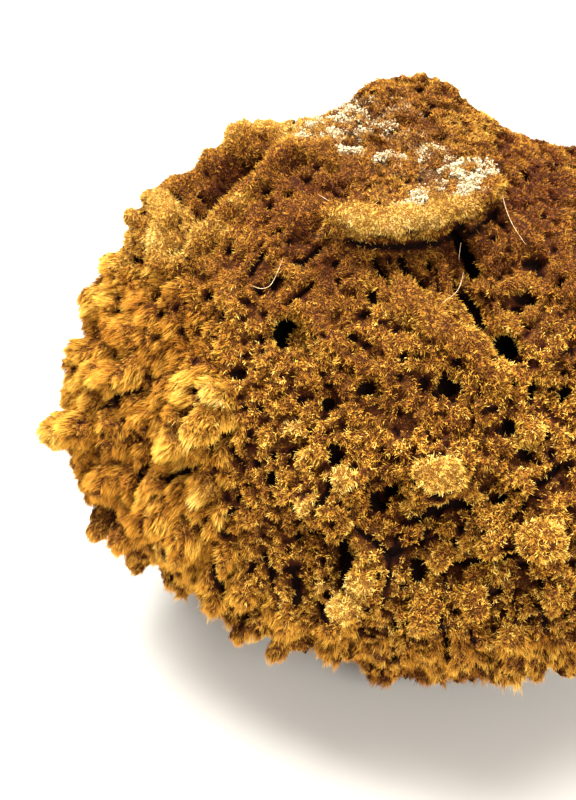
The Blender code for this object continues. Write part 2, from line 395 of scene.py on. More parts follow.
# gaps and creases seen on the front: pixel points along each, width in pixels, depth in mm
creaseSpots = (
    (((378, 258), (384, 272), (392, 288)), 9, 7), (((458, 238), (463, 252), (470, 270)), 13, 9),
    (((404, 260), (412, 272), (422, 286)), 10, 6), (((454, 282), (468, 302), (482, 327)), 10, 7),
    (((344, 240), (372, 246), (404, 249), (440, 245), (470, 234), (492, 216)), 7, 3),
    (((343, 550), (343, 575), (346, 606)), 9, 6), (((386, 552), (394, 578), (384, 608)), 8, 4),
    (((96, 409), (112, 399), (134, 389)), 9, 4), (((316, 246), (300, 264)), 8, 4),
    (((250, 272), (263, 250)), 8, 5), (((400, 522), (470, 506)), 9, 5),
    (((452, 566), (520, 558)), 9, 5), (((520, 508), (562, 468)), 9, 5),
    (((160, 477), (192, 470)), 9, 4), (((330, 482), (318, 504)), 10, 5),
    (((230, 452), (240, 468)), 8, 4), (((288, 302), (312, 282)), 8, 5),
    (((430, 262), (441, 292)), 8, 4), (((170, 540), (178, 570)), 9, 4),
    (((214, 556), (222, 592)), 9, 4), (((288, 570), (298, 602)), 9, 4),
    (((440, 618), (447, 652)), 9, 4), (((540, 598), (547, 632)), 9, 4),
    (((130, 470), (141, 494)), 9, 4), (((360, 530), (392, 556), (424, 548)), 9, 5),
    (((262, 560), (270, 590)), 8, 4), (((100, 500), (112, 524)), 8, 3),
)

# lobes and tufts seen on the front: x, y and radii in pixels, height in millimetres
lobeSpots = (
    (352, 217, 9, 8, 1.4), (376, 223, 9, 8, 2.0), (408, 221, 10, 8, 1.4), (436, 219, 9, 8, 2.2),
    (464, 208, 9, 8, 1.6), (100, 528, 13, 11, 3.5), (212, 604, 14, 12, 3.5),
    (240, 632, 16, 10, 3), (278, 648, 16, 10, 3), (438, 472, 26, 18, 4.5), (344, 479, 12, 12, 4),
    (308, 502, 12, 11, 3.5), (207, 424, 24, 20, 4.5), (168, 444, 16, 15, 3.5),
    (216, 393, 10, 9, 3), (188, 381, 11, 9, 2.5), (224, 404, 6, 6, 2), (364, 548, 6, 18, 5),
    (367, 577, 9, 20, 6), (358, 602, 6, 15, 6), (60, 430, 22, 20, 3), (152, 198, 13, 11, 3),
    (131, 217, 11, 11, 2.5), (112, 264, 14, 15, 2.5), (92, 302, 14, 16, 2.5),
    (78, 350, 14, 16, 2), (158, 240, 20, 22, 2.5), (540, 540, 27, 24, 4.5), (530, 432, 20, 14, 3),
    (180, 546, 24, 22, 3.5), (150, 515, 22, 20, 3), (245, 588, 18, 26, 3.5),
    (290, 610, 15, 20, 3.5), (425, 612, 20, 24, 3.5), (474, 600, 16, 22, 3.5),
    (512, 640, 18, 16, 2.5), (440, 556, 18, 16, 3.5), (492, 545, 18, 16, 3),
    (400, 219, 56, 11, 2.5), (205, 492, 9, 9, 3), (222, 513, 9, 9, 2.5), (120, 330, 22, 22, 2),
    (140, 300, 18, 16, 1.5), (100, 372, 26, 16, 2), (105, 480, 22, 18, 2.5), (292, 428, 8, 7, 2),
    (395, 505, 9, 9, 2), (330, 620, 14, 22, 3), (120, 540, 14, 16, 2.5), (215, 575, 16, 20, 3),
    (455, 655, 16, 12, 2.5), (550, 600, 20, 20, 3), (300, 210, 20, 26, 1.5),
    (262, 128, 22, 10, 2.5), (310, 128, 20, 9, 1.5), (555, 350, 14, 12, 2),
)

# ridges and folds seen on the front: pixel points along each, width in pixels, height in mm
ridgeSpots = (
    (((338, 213), (368, 218), (404, 219), (440, 213), (468, 204), (488, 189)), 16, 4.0),
    (((262, 126), (226, 142), (196, 166), (172, 196), (160, 236), (160, 262)), 16, 4.0),
    (((330, 152), (294, 150), (268, 162), (246, 190), (216, 222), (192, 252)), 15, 3.4),
    (((392, 286), (430, 320), (470, 350), (516, 388)), 26, 2.5),
    (((440, 268), (452, 300), (476, 336)), 10, 1.2),
    (((500, 206), (536, 244), (572, 290)), 12, 1.5),
    (((300, 305), (330, 340), (372, 372)), 14, 1.2),
    (((232, 300), (222, 350), (232, 392)), 14, 1.0),
)

# felted valleys: pixel points along each, width in pixels, depth in mm
valleySpots = (
    (((204, 212), (218, 190), (238, 168), (256, 158)), 26, 7.0),
    (((330, 160), (344, 182)), 20, 2.5), (((300, 236), (322, 214), (338, 196)), 16, 2.0),
    (((392, 172), (430, 182), (462, 190)), 14, 2.0),
    (((352, 140), (384, 148), (420, 140)), 12, 1.5), (((152, 218), (146, 250)), 14, 2.5),
)

# places where the outline is drawn in: x, y and radii in pixels, depth in millimetres
dentSpots = (
    (184, 158, 24, 22, 5.5), (208, 140, 24, 18, 4.5), (232, 122, 20, 14, 3),
    (104, 550, 16, 14, 4.5), (72, 492, 12, 12, 4), (48, 456, 12, 12, 5), (380, 694, 26, 12, 4),
    (206, 118, 20, 16, 3),
)


def solidCopy():
    mesh = frame["nodes"]["sponge"].data.copy()
    work = bmesh.new()
    work.from_mesh(mesh)
    bmesh.ops.remove_doubles(work, verts=work.verts, dist=1e-6)
    work.to_mesh(mesh)
    work.free()
    return mesh


def softSkin():
    obj = linkObject("softening", solidCopy())
    remesh = obj.modifiers.new("even mesh", "REMESH")
    remesh.mode = "VOXEL"
    remesh.voxel_size = body["voxel"]
    soft = obj.modifiers.new("soft", "SMOOTH")
    soft.factor = 0.5
    soft.iterations = body["softening"]
    mesh = settled(obj)
    bpy.data.objects.remove(obj)
    for name in [layer.name for layer in mesh.uv_layers]:
        mesh.uv_layers.remove(mesh.uv_layers[name])
    mesh.materials.clear()
    return mesh


class CalmSkin:
    # the body without its fine forms, which every spot and depth is measured on
    def __init__(self, mesh):
        self.points, self.normals = smoothedPoints(mesh, body["calming"])
        corners = np.empty(len(mesh.loops), np.int32)
        mesh.loops.foreach_get("vertex_index", corners)
        starts = [p.loop_start for p in mesh.polygons]
        faces = [corners[a:b].tolist() for a, b in zip(starts, starts[1:] + [len(corners)])]
        self.tree = BVHTree.FromPolygons([Vector(p) for p in self.points], faces)
        self.near = KDTree(len(self.points))
        for i, p in enumerate(self.points):
            self.near.insert(p, i)
        self.near.balance()
        self.across, self.down = pictureSpots(self.points)
        eye = shotDirections()[0]
        facing = (self.normals * unit(eye - self.points)).sum(axis=1)
        self.facing = facing
        self.seen = easeStep(facing, *sides["seenEdge"])
        self.nearSide = easeStep(facing, *sides["nearEdge"])
        sight = unit(self.points - eye) * self.seen[:, None]
        self.inward = unit(sides["sightShare"] * sight - sides["normalShare"] * self.normals)

    def spot(self, x, y):
        eye, direction = rayThrough(x, y)
        place, normal, _, _ = self.tree.ray_cast(eye, direction)
        if place is None:
            place, normal, _, _ = self.tree.find_nearest(eye + direction * shot["distance"])
        return place, normal

    def roundGap(self, x, y, wide, high):
        return np.hypot((self.across - x) / wide, (self.down - y) / high)

    def lineGap(self, path):
        best = np.full(len(self.across), 1e9)
        for (x0, y0), (x1, y1) in zip(path, path[1:]):
            dx, dy = x1 - x0, y1 - y0
            t = ((self.across - x0) * dx + (self.down - y0) * dy) / (dx * dx + dy * dy)
            t = np.clip(t, 0, 1)
            best = np.minimum(best, np.hypot(self.across - x0 - t * dx, self.down - y0 - t * dy))
        return best


class Relief:
    # how far each point rises or sinks, and how much of it is lobe, opening and painted black shade
    # inside a deep opening
    def __init__(self, calm):
        self.calm = calm
        for name in ("rise", "lobes", "depth", "pit", "paintedBlackShade", "clear"):
            setattr(self, name, np.zeros(len(calm.points)))
        self.ragged = wander(calm.points, forms["raggedSize"], 15.0)
        self.poreCentres = []

    def raiseForm(self, gap, height):
        share = (1 - easeStep(gap, *forms["raisedEdge"])) * self.calm.seen
        self.rise = np.maximum(self.rise, share * height * mm)
        self.lobes = np.maximum(self.lobes, share)

    def openForm(self, gap, depth, index=slice(None)):
        share = 1 / (1 + gap ** forms["sharpness"])
        self.depth[index] = np.maximum(self.depth[index], share * depth)
        self.pit[index] = np.maximum(self.pit[index], share)

    def addRaised(self):
        calm, fit = self.calm, forms["lobeFit"]
        for x, y, wide, high, height in lobeSpots:
            self.raiseForm(calm.roundGap(x, y, fit * wide, fit * high), height)
        for path, width, height in ridgeSpots:
            gap = calm.lineGap(path) / (width / 2) + forms["raggedRidge"] * self.ragged
            self.raiseForm(gap, height)
        for path, width, depth in valleySpots:
            gap = calm.lineGap(path) / (width / 2) + forms["raggedValley"] * self.ragged
            self.rise -= (1 - easeStep(gap, *forms["valleyEdge"])) * depth * mm * calm.seen
        for x, y, wide, high, depth in dentSpots:
            gap = calm.roundGap(x, y, wide, high)
            self.rise -= (1 - easeStep(gap, *forms["dentEdge"])) * depth * mm

    def addOpenings(self):
        calm = self.calm
        hidden = forms["hiddenGap"] * (1 - calm.seen)
        for x, y, wide, high, depth in poreSpots:
            deep = depth > forms["deepest"]
            fit = forms["deepFit"] if deep else forms["openFit"]
            gap = calm.roundGap(x, y, fit * wide, fit * high) + hidden
            self.openForm(gap, (1.0 if deep else forms["openDepth"]) * depth * mm)
            if deep:
                # painted shade: the inside of a deep opening is painted black
                self.paintedBlackShade = np.maximum(self.paintedBlackShade, 1 - easeStep(gap, *forms["blackEdge"]))
                self.clear = np.maximum(self.clear, 1 - easeStep(gap, *forms["clearEdge"]))
        for path, width, depth in creaseSpots:
            self.openForm(calm.lineGap(path) / (width / 2) + hidden, depth * mm)

    def scatterPores(self, rules, share):
        random = np.random.default_rng(rules["seed"])
        calm, spacing = self.calm, rules["spacing"]
        taken = 0
        blocked = self.pit > poreRules["blocked"]
        for i in random.permutation(len(calm.points)):
            if taken >= rules["count"]:
                break
            if blocked[i] or random.random() > share[i]:
                continue
            width = random.uniform(*rules["widths"])
            found = calm.near.find_range(calm.points[i], max(width, spacing + width / 2))
            index = np.array([f[1] for f in found])
            gaps = np.array([f[2] for f in found])
            near = gaps < width
            depth = width * random.uniform(*poreRules["depths"])
            self.openForm(gaps[near] / (width / 2), depth, index[near])
            blocked[index[gaps < spacing + width / 2]] = True
            self.poreCentres.append((i, width))
            taken += 1
        return taken


# the zones: where each one fades in, and how far a slow wander blurs its border
zoneRules = {
    "wander": 30 * mm,
    "blur": 8 * mm,
    "blurLow": 10 * mm,
    "top": (108 * mm, 138 * mm),
    "low": (38 * mm, 82 * mm),
    "left": (42 * mm, 74 * mm),
    "right": (12 * mm, 40 * mm),
}


def zonesOf(calm):
    x, _, z = calm.points.T
    slow = wander(calm.points, zoneRules["wander"], 4.0)
    blur = zoneRules["blur"] * slow
    top = easeStep(z + blur, *zoneRules["top"])
    low = 1 - easeStep(z + zoneRules["blurLow"] * slow, *zoneRules["low"])
    left = easeStep(-x + blur, *zoneRules["left"]) * (1 - top)
    right = easeStep(x + blur, *zoneRules["right"]) * (1 - top) * (1 - low)
    return {"top": top, "low": low, "left": left, "right": right}


def byZone(zones, start, changes):
    total = start
    for zone, change in changes.items():
        total = total + change * zones[zone]
    return total


# lighter and darker places seen on the front: x, y, radius in pixels, and how much lighter; partly
# the sponge's own colour, partly painted highlight on lit tufts and painted shade in the crevices
# and the wide pit
toneSpots = (
    (438, 473, 24, 0.36), (345, 480, 11, 0.34), (308, 502, 11, 0.32), (205, 425, 24, 0.2),
    (180, 440, 18, 0.12), (215, 393, 12, 0.4), (292, 426, 8, 0.4), (188, 380, 12, 0.3),
    (224, 404, 7, 0.5), (367, 580, 10, 0.24), (364, 556, 7, 0.15), (357, 602, 8, 0.24),
    (172, 240, 34, 0.26), (135, 300, 26, 0.08), (400, 226, 44, 0.2), (345, 226, 14, 0.3),
    (440, 300, 30, 0.08), (395, 330, 26, 0.08), (530, 440, 24, 0.16), (548, 540, 26, 0.16),
    (180, 545, 26, 0.1), (205, 492, 10, 0.3), (222, 513, 9, 0.3), (250, 500, 20, -0.1),
    (236, 168, 17, -0.6), (220, 189, 15, -0.6), (207, 208, 12, -0.5), (292, 196, 34, -0.22),
    (316, 180, 16, -0.2), (340, 180, 14, -0.2), (420, 190, 40, 0.06), (404, 220, 20, 0.2),
    (440, 216, 18, 0.2), (360, 220, 16, 0.2), (404, 78, 26, 0.12), (540, 170, 44, -0.2),
    (500, 150, 24, -0.12), (480, 120, 18, 0.1), (530, 230, 40, -0.14), (560, 290, 30, -0.1),
    (200, 216, 22, 0.12), (130, 250, 20, 0.15), (108, 300, 20, 0.12), (58, 425, 16, 0.12),
    (80, 400, 20, 0.08), (188, 148, 20, 0.4), (168, 174, 18, 0.25), (216, 126, 20, 0.45),
    (246, 108, 20, 0.4), (276, 106, 18, 0.3), (148, 196, 16, 0.12), (165, 210, 15, 0.16),
    (160, 240, 15, 0.2), (226, 138, 16, 0.45), (252, 122, 16, 0.45), (284, 122, 14, 0.35),
    (262, 160, 10, 0.2), (256, 180, 8, 0.25), (242, 202, 9, 0.25), (222, 226, 10, 0.25),
    (465, 206, 18, 0.35), (372, 230, 14, 0.25), (430, 226, 14, 0.25), (490, 192, 10, 0.2),
    (150, 198, 12, 0.14), (128, 217, 12, 0.3), (110, 262, 14, 0.25), (91, 302, 14, 0.2),
    (76, 350, 14, 0.2), (330, 255, 30, -0.16), (480, 250, 30, -0.16), (540, 200, 40, -0.1),
    (130, 505, 44, -0.12), (102, 526, 12, 0.2), (400, 150, 50, -0.06), (415, 262, 40, -0.16),
    (260, 130, 26, 0.18), (310, 130, 24, 0.2), (380, 504, 22, -0.3), (310, 545, 26, -0.18),
    (400, 540, 20, -0.18), (50, 430, 24, 0.14), (240, 345, 40, 0.04),
)

# chalky patches: x, y, radii in pixels, and how thick
chalkSpots = (
    (478, 170, 18, 12, 1.0), (470, 186, 14, 7, 0.7), (412, 155, 14, 7, 0.8),
    (382, 158, 8, 4, 1.0), (404, 202, 24, 8, 0.7), (432, 196, 14, 7, 0.5), (318, 130, 26, 9, 0.6),
    (340, 112, 14, 9, 0.4), (362, 104, 18, 8, 0.4), (356, 214, 7, 9, 0.5),
    (440, 142, 20, 8, 0.35), (380, 128, 24, 9, 0.3), (450, 165, 12, 12, 0.5),
    (345, 147, 26, 4, 0.8), (304, 140, 14, 5, 0.6), (238, 180, 4, 4, 1.0), (213, 203, 5, 4, 1.0),
    (228, 168, 4, 3, 0.5), (316, 230, 6, 4, 0.25), (392, 98, 16, 6, 0.25),
    (440, 178, 50, 34, 0.24), (370, 120, 60, 26, 0.26), (412, 222, 70, 8, 0.12),
    (480, 174, 12, 6, 0.5), (386, 156, 10, 6, 0.5), (462, 178, 22, 10, 0.4),
    (420, 196, 16, 5, 0.4),
)

# the shelf, where the strands are shorter
shelfSpots = ((410, 205, 95, 34, 1.0),)

# how light the colour is, from 0 to 1
toneRules = {
    "start": 0.39,
    "byZone": {"left": -0.06, "low": -0.01, "top": -0.04},
    "foot": 0.38,                        # painted shade: the foot is this much darker
    "footEdge": (13 * mm, 50 * mm),
    "broad": 0.12,
    "broadSize": 22 * mm,
    "fine": 0.12,
    "fineOnTop": 0.1,
    "fineSize": 5 * mm,
    # painted light and shade: the tone is lighter on the crests of lobes and clumps and darker in
    # the hollows
    "lobes": 0.12,
    "clumps": 0.12,
    "hollows": 0.15,
    # painted highlight on the rims of the openings
    "rimHighlights": 0.14,
}

# how much of a full coat grows where
coverRules = {
    "openingEdge": (0.2, 0.45),
    "hollows": 0.85,
    "underside": (-0.8, 1.5 * mm),       # normals that point down, this near the ground
    "behind": 0.72,
    "moreInFront": 0.66,
    "frontEdge": (-0.4, 0.1),
    "zoneEdge": (0.08, 0.5),
    "nap": 0.25,
    "napOnTop": 0.85,
    "gritEdge": (0.22, 1.0),
}

# which way the strands lie, and how long they are
lieRules = {
    "spread": 0.5,
    "fall": 0.8,
    "lean": 0.2,
    "byZone": {"top": 0.25, "left": 0.9, "low": 1.3},
    "leanSize": 12 * mm,
    "reachByPit": 0.5,
    "reachByHollow": 0.4,
    "reachByLobe": 0.2,
    "reachByShelf": 0.35,
    "reachLimits": (0.35, 1.3),
}


def patchesOn(calm, spots, side):
    total = np.zeros(len(calm.points))
    for spot in spots:
        x, y, wide, high, strength = spot if len(spot) == 5 else (*spot[:3], spot[2], spot[3])
        total += strength * np.exp(-calm.roundGap(x, y, wide, high) ** 3)
    return total * side


def fillOpenings(mesh):
    # the solid's openings are broad, so they are closed here and the real ones made over them
    points = pointsOf(mesh)
    level, normals = smoothedPoints(mesh, body["filling"])
    proud = ((points - level) * normals).sum(axis=1)
    movePoints(mesh, level + normals * np.maximum(proud, 0)[:, None])
    again, _ = smoothedPoints(mesh, body["evening"])
    movePoints(mesh, again)


def cellsOn(points, size, shift, edge):
    gaps = cellGaps(points, size, shift)
    return easeStep(gaps[:, 1] - gaps[:, 0], 0.0, edge)


def tuftsOn(calm, zones):
    slow = wander(calm.points, tufts["swaySize"])[:, None]
    sway, edge = tufts["lobeSway"] * slow, tufts["lobeEdge"]
    lobes = cellsOn(calm.points + sway, tufts["lobeSize"], 0.0, edge)
    hanging = cellsOn(calm.points * tufts["hangingSquash"] + sway, tufts["hangingSize"], 5.0, edge)
    lobes += (hanging - lobes) * zones["low"]
    clumps = cellsOn(calm.points + tufts["clumpSway"] * slow, tufts["clumpSize"], 7.0,
                     tufts["clumpEdge"])
    return lobes, clumps


def hollowsOn(calm, zones, relief):
    ragged = -wander(calm.points, hollows["size"], 11.0)
    fineSize = hollows["fineSize"] * hollows["size"]
    ragged = ragged - hollows["fineShare"] * wander(calm.points, fineSize, 13.0)
    hollow = easeStep(ragged, *hollows["edge"])
    hollow = hollow * (1 - easeStep(relief.lobes, *hollows["lobeEdge"]))
    for zone, fewer in hollows["fewer"].items():
        hollow = hollow * (1 - fewer * zones[zone])
    return hollow * (1 - relief.clear)


def poresOn(calm, zones, relief):
    share = np.clip(byZone(zones, 1, poreRules["byZone"]), poreRules["least"], 1)
    share = share * (calm.points[:, 2] > poreRules["lowest"])
    share = share * (relief.lobes < poreRules["lobeLimit"])
    fewer = share * np.where(calm.facing > 0.1, poreRules["middleInFront"], 1.0)
    fewer = fewer * (1 - poreRules["middleOffTop"] * zones["top"])
    middle = relief.scatterPores(poreRules["middle"], fewer)
    small = relief.scatterPores(poreRules["small"], share)
    print("body:", middle, "middle and", small, "small pores")


def shapedPoints(mesh, calm, zones, relief, lobes, clumps):
    points, normals = pointsOf(mesh), normalsOf(mesh)
    height = tufts["lobeHeight"]
    for zone, target in tufts["lobeHeights"].items():
        height = height + (target - height) * zones[zone]
    quiet = 1 - tufts["quiet"] * easeStep(relief.lobes, *tufts["quietEdge"])
    small = (clumps - 0.5) * tufts["clumpHeight"] * (1 - tufts["clumpLessOnTop"] * zones["top"])
    rise = (lobes - tufts["lobeLevel"]) * height * quiet + small
    rise += relief.rise - body["inset"]
    droop = np.array((0, 0, tufts["droop"]))
    droop = droop * easeStep(relief.rise, *tufts["droopEdge"])[:, None]
    along = unit(0.4 * normals + 0.6 * calm.normals - droop)
    shift = along * rise[:, None] + calm.inward * relief.depth[:, None]
    points = points + shift * easeStep(points[:, 2], *body["footEdge"])[:, None]
    points[:, 2] = np.maximum(points[:, 2], 0)
    return points


def flowOn(calm, zones, normals):
    # strands stand up on the middle, and lie down and outwards on the left and low down
    outward = unit(0.6 * normals + 0.4 * calm.normals)
    spread = unit(calm.points * (1, 1, 0) + (0, -10 * mm, 0)) * lieRules["spread"]
    spread = spread - np.array((0, 0, lieRules["fall"]))
    fall = unit(spread - (spread * calm.normals).sum(axis=1)[:, None] * calm.normals)
    lean = byZone(zones, lieRules["lean"], lieRules["byZone"])
    lean = lean * (0.75 + 0.5 * wander(calm.points, lieRules["leanSize"], 2.0))
    return unit(outward + fall * lean[:, None])


def toneOn(calm, zones, relief, lobes, clumps, hollow):
    tone = byZone(zones, toneRules["start"], toneRules["byZone"])
    # painted shade: the body is darker towards the ground
    tone -= toneRules["foot"] * (1 - easeStep(calm.points[:, 2], *toneRules["footEdge"]))
    tone += toneRules["broad"] * wander(calm.points, toneRules["broadSize"], 8.0)
    fine = toneRules["fine"] + toneRules["fineOnTop"] * zones["top"]
    tone += fine * wander(calm.points, toneRules["fineSize"], 3.0)
    # painted light and shade: lighter on lobes and clumps, darker in the hollows
    tone += (toneRules["lobes"] * (lobes - 0.6) + toneRules["clumps"] * (clumps - 0.5)
             - toneRules["hollows"] * hollow + patchesOn(calm, toneSpots, calm.nearSide))
    # painted highlight: the rims of the openings are lighter
    rimHighlight = np.clip(relief.pit * (1 - relief.pit) * 4, 0, 1)
    return np.clip(tone + toneRules["rimHighlights"] * rimHighlight, 0, 1)


def chalkOn(calm):
    patchy = wander(calm.points, 4 * mm, 6.0) + 0.7 * wander(calm.points, 1.8 * mm, 5.0)
    return patchesOn(calm, chalkSpots, calm.seen) * easeStep(patchy, -0.12, 0.3)


def sharesOn(calm, zones, relief, hollow, chalk, underside):
    coat = 1 - easeStep(relief.pit, *coverRules["openingEdge"])
    coat = coat * (1 - coverRules["hollows"] * hollow) * ~underside
    front = easeStep(calm.facing, *coverRules["frontEdge"])
    coat = coat * (coverRules["behind"] + coverRules["moreInFront"] * front)
    combed = easeStep(zones["left"] * (1 - zones["low"]), *coverRules["zoneEdge"])
    shaggy = easeStep(zones["low"], *coverRules["zoneEdge"])
    offTop = 1 - zones["top"]
    return {
        "napShare": coat * (coverRules["nap"] + coverRules["napOnTop"] * zones["top"]),
        "fuzzShare": coat * np.clip(offTop - 0.3 * combed - 0.3 * shaggy, 0, 1),
        "coneShare": coat * np.clip(offTop - 0.9 * combed - 0.85 * shaggy, 0, 1.2),
        "combShare": coat * combed,
        "shagShare": coat * shaggy,
        "gritShare": easeStep(chalk, *coverRules["gritEdge"]) * (1 - relief.pit),
    }


def reachOn(calm, relief, lobes, hollow):
    reach = 1 - lieRules["reachByPit"] * easeStep(relief.pit, 0.02, 0.35)
    reach = reach - lieRules["reachByHollow"] * hollow
    reach = reach + lieRules["reachByLobe"] * (lobes - 0.6)
    reach = reach - lieRules["reachByShelf"] * patchesOn(calm, shelfSpots, calm.seen)
    return np.clip(reach, *lieRules["reachLimits"])


def makeBody():
    mesh = softSkin()
    print("body: soft skin with", len(mesh.vertices), "points")
    fillOpenings(mesh)
    calm = CalmSkin(mesh)
    zones = zonesOf(calm)
    lobes, clumps = tuftsOn(calm, zones)
    relief = Relief(calm)
    relief.addRaised()
    relief.addOpenings()
    poresOn(calm, zones, relief)
    hollow = hollowsOn(calm, zones, relief)
    relief.depth = np.maximum(relief.depth, hollow * hollows["depth"])
    points = shapedPoints(mesh, calm, zones, relief, lobes, clumps)
    movePoints(mesh, points)

    normals = normalsOf(mesh)
    chalk = chalkOn(calm)
    downwards, nearGround = coverRules["underside"]
    underside = (normals[:, 2] < downwards) & (points[:, 2] < nearGround)
    # painted shade: the gap layer marks where the body is darkened between the hanging lobes low
    # down, between the small clumps and in the hollows
    gap = (1 - lobes) * zones["low"] * 0.8 + (1 - clumps) * 0.3 + 0.9 * hollow
    layers = {
        "tone": toneOn(calm, zones, relief, lobes, clumps, hollow),
        "pit": relief.pit,
        "paintedBlackShade": relief.paintedBlackShade,
        "chalk": np.clip(chalk, 0, 1),
        "gap": np.clip(gap, 0, 1),
        "flow": flowOn(calm, zones, normals),
        "reach": reachOn(calm, relief, lobes, hollow),
        **sharesOn(calm, zones, relief, hollow, chalk, underside),
    }
    for name, values in layers.items():
        keepValues(mesh, name, values)
    mesh.shade_smooth()

    pores = bpy.data.meshes.new("pores")
    pores.from_pydata([tuple(points[i]) for i, _ in relief.poreCentres], [], [])
    keepValues(pores, "width", np.array([width for _, width in relief.poreCentres]))
    return linkObject("spongeBody", mesh), linkObject("pores", pores), calm


def thinBody(obj):
    thin = obj.modifiers.new("fewer faces", "DECIMATE")
    thin.ratio = body["triangles"] / (2 * len(obj.data.polygons))
    mesh = settled(obj)
    obj.modifiers.clear()
    for name in [a.name for a in mesh.attributes if a.name.endswith("Share")] + ["flow", "reach"]:
        mesh.attributes.remove(mesh.attributes[name])
    mesh.shade_smooth()
    obj.data = mesh
    mesh.calc_loop_triangles()
    print("body:", len(mesh.loop_triangles), "triangles")


def bodyMaterial():
    material, tree, shader = newMaterial("spongin body", 0.95)
    flecks, relief = addFlecks(tree, 1250.0, 1.0)

    def layer(name):
        return addNode(tree, "ShaderNodeAttribute", attribute_name=name).outputs["Fac"]

    tone, pit, gap, chalk, paintedBlackShade = map(layer, ("tone", "pit", "gap", "chalk", "paintedBlackShade"))
    dark = addRamp(tree, tone, [(0.0, paint(34, 9, 4)), (0.45, paint(62, 22, 6)),
                                (0.7, paint(150, 90, 24)), (1.0, paint(196, 134, 50))])
    light = addRamp(tree, tone, [(0.0, paint(120, 58, 16)), (0.45, paint(206, 136, 44)),
                                 (0.7, paint(240, 190, 84)), (1.0, paint(252, 218, 126))])
    skin = mixColours(tree, flecks, dark, light)
    # painted shade: a dark brown laid over the gaps between lobes and clumps and in the hollows,
    # strongest where the flecks are dark
    shaded = sumOf(tree, "MULTIPLY", gap, rangeOf(tree, flecks, 0.0, 1.0, 1.0, 0.45))
    skin = mixColours(tree, shaded, skin, paint(66, 28, 8))
    # painted shade: the walls of the openings turn dark brown, their deep parts darker still, and
    # the deep openings black
    wallShade = rangeOf(tree, pit, 0.2, 0.6)
    skin = mixColours(tree, wallShade, skin, paint(80, 32, 10))
    deep = rangeOf(tree, pit, 0.6, 0.95)
    skin = mixColours(tree, deep, skin, paint(30, 11, 5))
    skin = mixColours(tree, paintedBlackShade, skin, paint(9, 4, 3))
    dusted = sumOf(tree, "MULTIPLY", chalk, rangeOf(tree, flecks, 0.0, 1.0, 0.0, 0.6))
    skin = mixColours(tree, dusted, skin, paint(232, 206, 146))
    tree.links.new(skin, shader.inputs["Base Color"])
    tree.links.new(relief, shader.inputs["Normal"])
    return material


# the coats: tufts of flat strands, scattered over the body and gathered into clumps

# glints is the share of strands whose tone shine lifts far up, a painted glint
coats = {
    "nap": {"tufts": 6.5e5, "strands": 5, "spread": 0.5, "height": 1.4, "width": 0.19,
            "splay": 0.7, "lengths": (0.7, 1.3), "clumps": 1.5, "clumpHeight": 1.6,
            "gather": 0.4, "valley": -1.0, "scatter": 0.5, "seed": 21, "lift": 0.08,
            "glints": 0.12, "shine": 2.6, "curl": None},
    "fuzz": {"tufts": 5.5e5, "strands": 5, "spread": 0.5, "height": 1.7, "width": 0.2,
             "splay": 0.5, "lengths": (0.6, 1.2), "clumps": 1.3, "clumpHeight": 1.6,
             "gather": 0.5, "valley": 0.02, "scatter": 0.4, "seed": 26, "lift": 0.04,
             "glints": 0.14, "shine": 2.8, "curl": None},
    "cone": {"tufts": 4.15e5, "strands": 5, "spread": 0.36, "height": 1.65, "width": 0.2,
             "splay": 0.4, "lengths": (0.7, 1.25), "clumps": 1.7, "clumpHeight": 2.0,
             "gather": 0.62, "valley": 0.1, "scatter": 0.3, "seed": 25, "lift": 0.14,
             "glints": 0.18, "shine": 2.8, "curl": (0.6, 1.4)},
    "comb": {"tufts": 1.55e6, "strands": 5, "spread": 0.42, "height": 2.9, "width": 0.2,
             "splay": 0.22, "lengths": (0.7, 1.2), "clumps": 5.0, "clumpHeight": 6.0,
             "gather": 0.55, "valley": 0.12, "scatter": 0.14, "seed": 23, "lift": 0.08,
             "glints": 0.08, "shine": 2.0, "curl": None},
    "shag": {"tufts": 9.4e5, "strands": 5, "spread": 0.42, "height": 2.8, "width": 0.24,
             "splay": 0.22, "lengths": (0.65, 1.25), "clumps": 3.2, "clumpHeight": 4.2,
             "gather": 0.65, "valley": 0.08, "scatter": 0.16, "seed": 24, "lift": 0.03,
             "glints": 0.1, "shine": 2.0, "curl": None},
}

# what all tufts share, in millimetres and in shares of a strand's length
tuftShape = {
    "kinds": 7,
    "rootDepth": 0.25,
    "lengths": (0.65, 1.15),
    "bend": 0.66,
    "tip": 0.36,
    "clumpsPerSquareMetre": 1.5e6,
    "clumpReach": 0.75,                  # in clump spacings
    "tallerInClump": (0.4, 0.8),
    "tallerByTuft": (0.2, 1.0),
    "poreClear": 0.62,                   # nothing grows this near a pore, in its widths
    "poreShort": (0.5, 1.1, 0.5, 1.0),
}

# the tone of a strand, laid along the map: what adds to it, and the part of the map it fills
strandTones = {
    "strand": 0.09,
    "tuft": 0.08,
    # painted shade: strands far from the middle of their clump are darker, those near it lighter
    "clump": 0.26,
    # painted highlight on strands at the rim of a pore
    "rimHighlight": 0.1,
    "rimEdge": (0.5, 0.9),
    "least": 0.012,
    "most": 0.84,
    "dusted": 0.95,
    "dustedFrom": (0.34, 0.3),
}


def leaning(turn, tilt):
    return np.array((math.cos(turn) * math.sin(tilt), math.sin(turn) * math.sin(tilt),
                     math.cos(tilt)))


